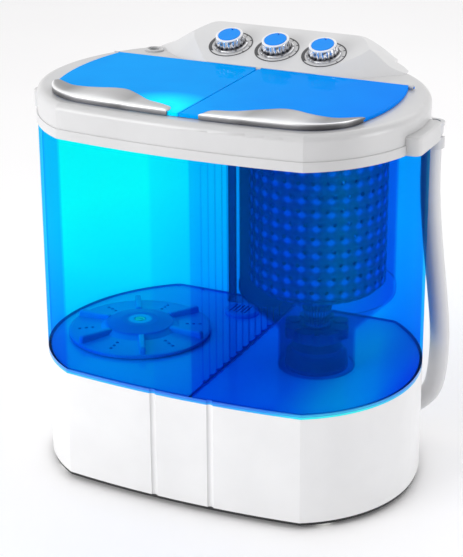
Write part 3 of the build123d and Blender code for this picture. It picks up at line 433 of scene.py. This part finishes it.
# ---- finishes of the CAD nodes ------------------------------------------------------
# The top frame, console and base are one white plastic; their three levels are painted shade and light,
# darkest on the top frame and lightest on the base.
WHITE = moulded("white_plastic", (0.555, 0.555, 0.56), coat=0.15, grain=0.2)
CONSOLE_WHITE = moulded("console_white", (0.67, 0.67, 0.675), coat=0.15, grain=0.2)
BASE_WHITE = moulded("base_white", (0.74, 0.74, 0.745), coat=0.15, grain=0.2)
RING_WHITE = moulded("ring_white", (0.86, 0.86, 0.87))
LID_BLUE = lid_plastic()
CAP_BLUE = moulded("cap_blue", (0.0, 0.27, 0.90), 0.4, specular=0.15)
BASKET_BLUE = basket_plastic()
PULSATOR_BLUE = pulsator_plastic()
NYLON = moulded("nylon", (0.74, 0.74, 0.71), 0.45)
DARK_PLASTIC = moulded("dark_plastic", (0.012, 0.012, 0.014), 0.5)
PRINT = moulded("scale_grey", (0.06, 0.06, 0.065), 0.5)
SILVER = brushed_silver()
CHROME = knob_chrome()
STEEL = metal("steel", (0.55, 0.55, 0.57))
ALUMINIUM = metal("aluminium", (0.74, 0.74, 0.76), 0.28)
BRONZE = metal("bronze", (0.60, 0.42, 0.20), 0.35)
PAINTED = moulded("motor_paint", (0.16, 0.17, 0.18), 0.45)
BLACK_RUBBER = rubber("black_rubber", (0.012, 0.012, 0.014))
SEAL_RUBBER = rubber("seal_navy", (0.0, 0.006, 0.20), 0.35)
HOSE_RUBBER = rubber("hose_grey", (0.61, 0.61, 0.62), 0.42)
TUB_BLUE = tub_plastic()
CHAMBER_BLUE = see_through("chamber_clear_blue", (0.40, 0.78, 1.0), (0.0, 0.38, 0.98), 0.09)
CHANNEL_BLUE = see_through("channel_clear_blue", (0.35, 0.88, 1.0), (0.0, 0.40, 0.95), 0.12)

FINISHES = {
    BASE_WHITE: ["base_housing"],
    WHITE: ["tub_rim_ring", "top_frame", "water_inlet", "drain_outlet", "hose_clip"],
    CONSOLE_WHITE: ["control_panel", "console_back_cover"],
    LID_BLUE: ["wash_lid", "spin_lid"],
    CAP_BLUE: ["wash_timer_knob_cap", "selector_knob_cap", "spin_timer_knob_cap"],
    BASKET_BLUE: ["spin_basket"],
    PULSATOR_BLUE: ["pulsator", "drain_grille"],
    NYLON: ["switch_box", "pulsator_pulley", "lint_filter", "drain_valve_body", "feet"],
    # Black bottom plate: partly its own colour, partly painted shade standing in for the dark shadow line
    # under the base.
    DARK_PLASTIC: ["bottom_plate", "wash_timer", "selector_switch", "spin_timer"],
    PRINT: ["dial_rings"],
    SILVER: ["wash_lid_handle", "spin_lid_handle"],
    CHROME: ["wash_timer_knob", "selector_knob", "spin_timer_knob"],
    STEEL: ["housing_screws", "wash_timer_shaft", "selector_shaft", "spin_timer_shaft", "pulsator_screw",
            "pulsator_shaft", "wash_motor_bracket", "wash_motor_shaft", "spin_shaft", "motor_springs",
            "brake_lever", "lever_pin"],
    ALUMINIUM: ["wash_motor_pulley", "motor_capacitor"],
    BRONZE: ["pulsator_bearing"],
    PAINTED: ["wash_motor", "brake_drum", "spin_motor"],
    BLACK_RUBBER: ["drive_belt", "valve_plunger", "power_cord_gland"],
    SEAL_RUBBER: ["spin_shaft_seal", "basket_coupling"],
    HOSE_RUBBER: ["drain_pipe", "drain_hose", "hose_end_cuff"],
    TUB_BLUE: ["tub_shell"],
    CHANNEL_BLUE: ["filter_channel"],
    CHAMBER_BLUE: ["spin_chamber"],
}
for material, names in FINISHES.items():
    for name in names:
        NODES[name].data.materials.clear()
        NODES[name].data.materials.append(material)


# ---- own meshes ---------------------------------------------------------------------
SHARP_ANGLE = 40


def add_mesh(name, points, faces, material, body, node, place=Matrix()):
    """A smooth mesh piece, with points in metres, that rides on a body and stands for a CAD node."""
    mesh = bpy.data.meshes.new(name)
    mesh.from_pydata(points, [], faces)
    mesh.update()
    bm = bmesh.new()
    bm.from_mesh(mesh)
    bmesh.ops.recalc_face_normals(bm, faces=bm.faces)
    bm.to_mesh(mesh)
    bm.free()
    mesh.polygons.foreach_set("use_smooth", [True] * len(mesh.polygons))
    mesh.set_sharp_from_angle(angle=math.radians(SHARP_ANGLE))
    mesh.materials.append(material)
    piece = bpy.data.objects.new(name, mesh)
    bpy.context.scene.collection.objects.link(piece)
    piece.matrix_world = place
    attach(piece, body)
    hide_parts(node)


def ring_faces(rings, around):
    """Quads between rings of points, with a face closing each end."""
    faces = []
    for ring in range(rings - 1):
        near, far = ring * around, (ring + 1) * around
        for k in range(around):
            after = (k + 1) % around
            faces.append((near + k, near + after, far + after, far + k))
    faces.append(tuple(range(around)))
    faces.append(tuple(range((rings - 1) * around, rings * around)))
    return faces


# ---- lid grips ----------------------------------------------------------------------
# Plan views are for the right-hand lid, in millimetres, and the left-hand lid mirrors them.
LID_TOP = 470.6
LID_ARCS = [
    ((186, 69.2), (197, -8), (187, -78)),
    ((187, -78), (168.5, -112.5), (130, -131)),
    ((130, -131), (66, -136.3), (0.5, -138)),
]
ARC_STEPS = 24
CURVE_STEPS = 12
GRIP_INNER = [(206, -58), (166, -84), (147, -86.5), (129, -83), (110, -77), (94, -78), (73, -92),
              (54, -106), (32, -114), (8, -125)]
# How far the section has got from the inner edge to the outer one, and its height over the lid.
GRIP_SECTION = [(0.0, -1.0), (0.0, 0.5), (0.06, 1.0), (0.20, 1.15), (0.40, 1.2), (0.60, 1.5), (0.78, 2.15),
                (0.90, 2.8), (0.965, 3.0), (0.995, 2.85), (1.0, 2.4), (1.0, -1.0), (1.0, -3.6)]
LIP_DEPTHS = (3.6, 1.0)
LIP_T = 1.4
GRIP_OVERHANG = 1.8
GRIP_STEPS = 72
GRIP_END_X = 188.8
SEAM_TIP = 0.045
SIDE_TIP = 0.03
TIP_INSET = 5.5
TIP_WIDTH = 0.25
TIP_RISE = 0.55


def arc_points(start, through, end):
    """Points along the arc through three places, moved outward by the grip's overhang."""
    (ax, ay), (bx, by), (cx, cy) = start, through, end
    a, b, c = ax ** 2 + ay ** 2, bx ** 2 + by ** 2, cx ** 2 + cy ** 2
    d = 2 * (ax * (by - cy) + bx * (cy - ay) + cx * (ay - by))
    ux = (a * (by - cy) + b * (cy - ay) + c * (ay - by)) / d
    uy = (a * (cx - bx) + b * (ax - cx) + c * (bx - ax)) / d
    radius = math.hypot(ax - ux, ay - uy) + GRIP_OVERHANG
    first, last = math.atan2(ay - uy, ax - ux), math.atan2(cy - uy, cx - ux)
    angles = [first + (last - first) * k / ARC_STEPS for k in range(ARC_STEPS + 1)]
    return [(ux + radius * math.cos(angle), uy + radius * math.sin(angle)) for angle in angles]


def lid_edge():
    """The lid's outer edge, from halfway along its side arc to the seam."""
    side, corner, front = (arc_points(*arc) for arc in LID_ARCS)
    return side[ARC_STEPS // 2:] + corner + front


def catmull_rom(before, start, end, after, t):
    """A point between start and end, on a Catmull-Rom curve through four points."""
    return tuple(
        0.5 * (2 * b + (c - a) * t + (2 * a - 5 * b + 4 * c - d) * t * t + (3 * b - a - 3 * c + d) * t ** 3)
        for a, b, c, d in zip(before, start, end, after))


def smooth_curve(points):
    """Points along a smooth curve that passes through the given ones."""
    line = []
    for k in range(len(points) - 1):
        before = points[max(k - 1, 0)]
        after = points[min(k + 2, len(points) - 1)]
        for step in range(CURVE_STEPS):
            line.append(catmull_rom(before, points[k], points[k + 1], after, step / CURVE_STEPS))
    line.append(points[-1])
    return line


def y_at(line, x):
    """The y of a curve at one x, for a curve that runs towards smaller x."""
    for (x0, y0), (x1, y1) in zip(line, line[1:]):
        if x1 <= x <= x0:
            return y0 + (y1 - y0) * (x0 - x) / max(x0 - x1, 1e-6)
    return line[-1][1] if x < line[-1][0] else line[0][1]


def fullness(share):
    """1 along most of the grip, falling to 0 in a round tip at each end."""
    tip = min(1.0, share / SEAM_TIP, (1 - share) / SIDE_TIP)
    return math.sqrt(max(0.0, 1 - (1 - tip) ** 2))


def add_grip(side, start_x, name, body):
    """Blade-like grip: a dished top that rises to a rim, painted bright in the grip's material, and turns
    down over the lid's edge.
    """
    inner, outer = smooth_curve(GRIP_INNER), lid_edge()
    points = []
    for k in range(GRIP_STEPS + 1):
        share = k / GRIP_STEPS
        x = start_x + (GRIP_END_X - start_x) * share
        y_in, y_out = y_at(inner, x), y_at(outer, x)
        full = fullness(share)
        tip_y = y_out + TIP_INSET
        y_in = tip_y + (y_in - tip_y) * (TIP_WIDTH + (1 - TIP_WIDTH) * full)
        for across, rise in GRIP_SECTION:
            z = LID_TOP + (rise if rise < 0 else rise * (TIP_RISE + (1 - TIP_RISE) * full))
            points.append((side * x * MM, (y_in + (y_out - y_in) * across) * MM, z * MM))
        for depth in LIP_DEPTHS:
            points.append((side * x * MM, (y_out + LIP_T) * MM, (LID_TOP - depth) * MM))
    faces = ring_faces(GRIP_STEPS + 1, len(GRIP_SECTION) + len(LIP_DEPTHS))
    add_mesh(name + "_grip", points, faces, SILVER, body, name)


add_grip(1, 24.2, "spin_lid_handle", "spin_lid_body")
add_grip(-1, 14.2, "wash_lid_handle", "wash_lid_body")


# ---- knobs --------------------------------------------------------------------------
# Profiles hold a radius and a height in millimetres, and how much of the flutes' depth is cut there.
PANEL_TILT = 19.0
PANEL_FRONT = (72.0, 470.5)
KNOBS = {"wash_timer": -56.0, "selector": 4.5, "spin_timer": 65.0}
KNOB_Y = 111.0
KNOB_Z = PANEL_FRONT[1] + (KNOB_Y - PANEL_FRONT[0]) * math.tan(math.radians(PANEL_TILT))
KNOB_PROFILE = [(20.9, 0.8, 0), (20.9, 2.0, 0), (20.2, 2.8, 0), (18.6, 3.0, 0), (18.2, 3.3, 1),
                (17.8, 6.0, 1), (17.3, 9.0, 1), (16.8, 11.5, 1), (16.5, 12.2, 0.2), (16.3, 12.6, 0)]
RING_PROFILE = [(16.3, 12.5, 0), (16.5, 12.9, 0), (16.4, 13.6, 0), (15.8, 14.0, 0), (14.2, 14.0, 0),
                (13.6, 13.7, 0), (13.55, 12.5, 0)]
KNOB_STEPS = 144
FLUTES = 18
FLUTE_DEPTH = 1.5


def turned(profile):
    """Points of a profile turned round the knob's axis."""
    points = []
    for radius, height, fluted in profile:
        for k in range(KNOB_STEPS):
            angle = 2 * math.pi * k / KNOB_STEPS
            r = radius - FLUTE_DEPTH * fluted * (0.5 + 0.5 * math.cos(FLUTES * angle)) ** 2
            points.append((r * math.cos(angle) * MM, r * math.sin(angle) * MM, height * MM))
    return points


def add_knob_part(name, x, suffix, profile, material):
    shift = Matrix.Translation(Vector((x, KNOB_Y, KNOB_Z)) * MM)
    place = shift @ Matrix.Rotation(math.radians(PANEL_TILT), 4, "X")
    faces = ring_faces(len(profile), KNOB_STEPS)
    add_mesh(name + suffix, turned(profile), faces, material, name + "_dial", name + "_knob", place)


for name, x in KNOBS.items():
    add_knob_part(name, x, "_skirt", KNOB_PROFILE, CHROME)
    add_knob_part(name, x, "_ring", RING_PROFILE, RING_WHITE)


# ---- drain hose ---------------------------------------------------------------------
OUTLET_ANGLE = 48.0
OUTLET_HEADING = 8.0
OUTLET_RISE = 38.0
OUTLET_REACH = 26.0
OUTLET_Z = 28.0
WALL_CENTRE = (33.8, -8.0)
WALL_INSIDE_R = 192.7
HOSE_DIAMETER = 24.0 * MM


def along_outlet(distance):
    """A point on the drain outlet's axis, in millimetres."""
    at = math.radians(OUTLET_ANGLE)
    heading = math.radians(OUTLET_HEADING)
    rise = math.radians(OUTLET_RISE)
    return (
        WALL_CENTRE[0] + WALL_INSIDE_R * math.cos(at) + distance * math.cos(heading) * math.cos(rise),
        WALL_CENTRE[1] + WALL_INSIDE_R * math.sin(at) + distance * math.sin(heading) * math.cos(rise),
        OUTLET_Z + distance * math.sin(rise),
    )


HOSE_ROUTE = [
    along_outlet(OUTLET_REACH),
    along_outlet(OUTLET_REACH + 15),
    (204.6, 138.6, 67.0),
    (210.6, 135.0, 86.0),
    (214.4, 131.4, 113.0),
    (215.6, 129.4, 152.0),
    (209.8, 128.6, 205.0),
    (202.4, 128.2, 262.0),
    (196.8, 128.0, 318.0),
    (195.4, 128.8, 362.0),
    (196.0, 129.8, 400.0),
]


def add_hose():
    """Plain round hose from the drain outlet up to the clip under the rim."""
    curve = bpy.data.curves.new("drain_hose_line", "CURVE")
    curve.dimensions = "3D"
    spline = curve.splines.new("NURBS")
    spline.points.add(len(HOSE_ROUTE) - 1)
    for point, place in zip(spline.points, HOSE_ROUTE):
        point.co = (*[v * MM for v in place], 1)
    spline.order_u = 3
    spline.use_endpoint_u = True
    spline.resolution_u = 16
    curve.bevel_depth = HOSE_DIAMETER / 2
    curve.bevel_resolution = 12
    hose = bpy.data.objects.new("drain_hose_line", curve)
    bpy.context.scene.collection.objects.link(hose)
    curve.materials.append(HOSE_RUBBER)
    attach(hose, "cabinet")
    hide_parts("drain_hose")


add_hose()


# ---- stage --------------------------------------------------------------------------
FLOOR_SIZE = 6.0
LAMP_AIM = (0, 0, 0.15)
BACK_LAMP_AIM = (0, 0, 0.4)
DARK_SIDE = (0.70, -0.71, 0.05)


def add_floor():
    mesh = bpy.data.meshes.new("floor")
    bm = bmesh.new()
    bmesh.ops.create_grid(bm, x_segments=1, y_segments=1, size=FLOOR_SIZE)
    bm.to_mesh(mesh)
    bm.free()
    floor = bpy.data.objects.new("floor", mesh)
    bpy.context.scene.collection.objects.link(floor)
    mat, nt, bsdf = new_material("floor_white")
    tone = ramp(nt, noise(nt, 1.5, 2.0), [(0.3, (0.955, 0.95, 0.955)), (0.7, (0.975, 0.97, 0.975))])
    nt.links.new(tone, bsdf.inputs["Base Color"])
    bsdf.inputs["Roughness"].default_value = 0.5
    mesh.materials.append(mat)


def area_light(name, place, aim, size, power):
    data = bpy.data.lights.new(name, "AREA")
    data.shape = "RECTANGLE"
    data.size, data.size_y = size
    data.energy = power
    lamp = bpy.data.objects.new(name, data)
    bpy.context.scene.collection.objects.link(lamp)
    lamp.location = place
    lamp.rotation_euler = (Vector(aim) - Vector(place)).to_track_quat("-Z", "Y").to_euler()


def add_world():
    """White room with a dark side, which the walls facing it reflect."""
    world = bpy.data.worlds.new("studio")
    world.use_nodes = True
    nt = world.node_tree
    background = nt.nodes["Background"]
    background.inputs["Strength"].default_value = 1.0
    coord = nt.nodes.new("ShaderNodeTexCoord")
    facing = nt.nodes.new("ShaderNodeVectorMath")
    facing.operation = "DOT_PRODUCT"
    facing.inputs[1].default_value = Vector(DARK_SIDE).normalized()
    nt.links.new(coord.outputs["Generated"], facing.inputs[0])
    room = ramp(nt, facing.outputs["Value"], [(0.35, (1.0, 0.995, 0.995)), (0.90, (0.08, 0.08, 0.085))])
    nt.links.new(room, background.inputs["Color"])
    bpy.context.scene.world = world


add_floor()
add_world()
area_light("key", (-1.3, -2.2, 0.9), LAMP_AIM, (1.6, 1.2), 36)
area_light("fill", (2.4, 0.1, 0.6), LAMP_AIM, (1.0, 1.4), 20)
area_light("back", (0.2, 2.0, 2.0), BACK_LAMP_AIM, (2.0, 1.0), 6)
bpy.context.scene.view_settings.view_transform = "Standard"
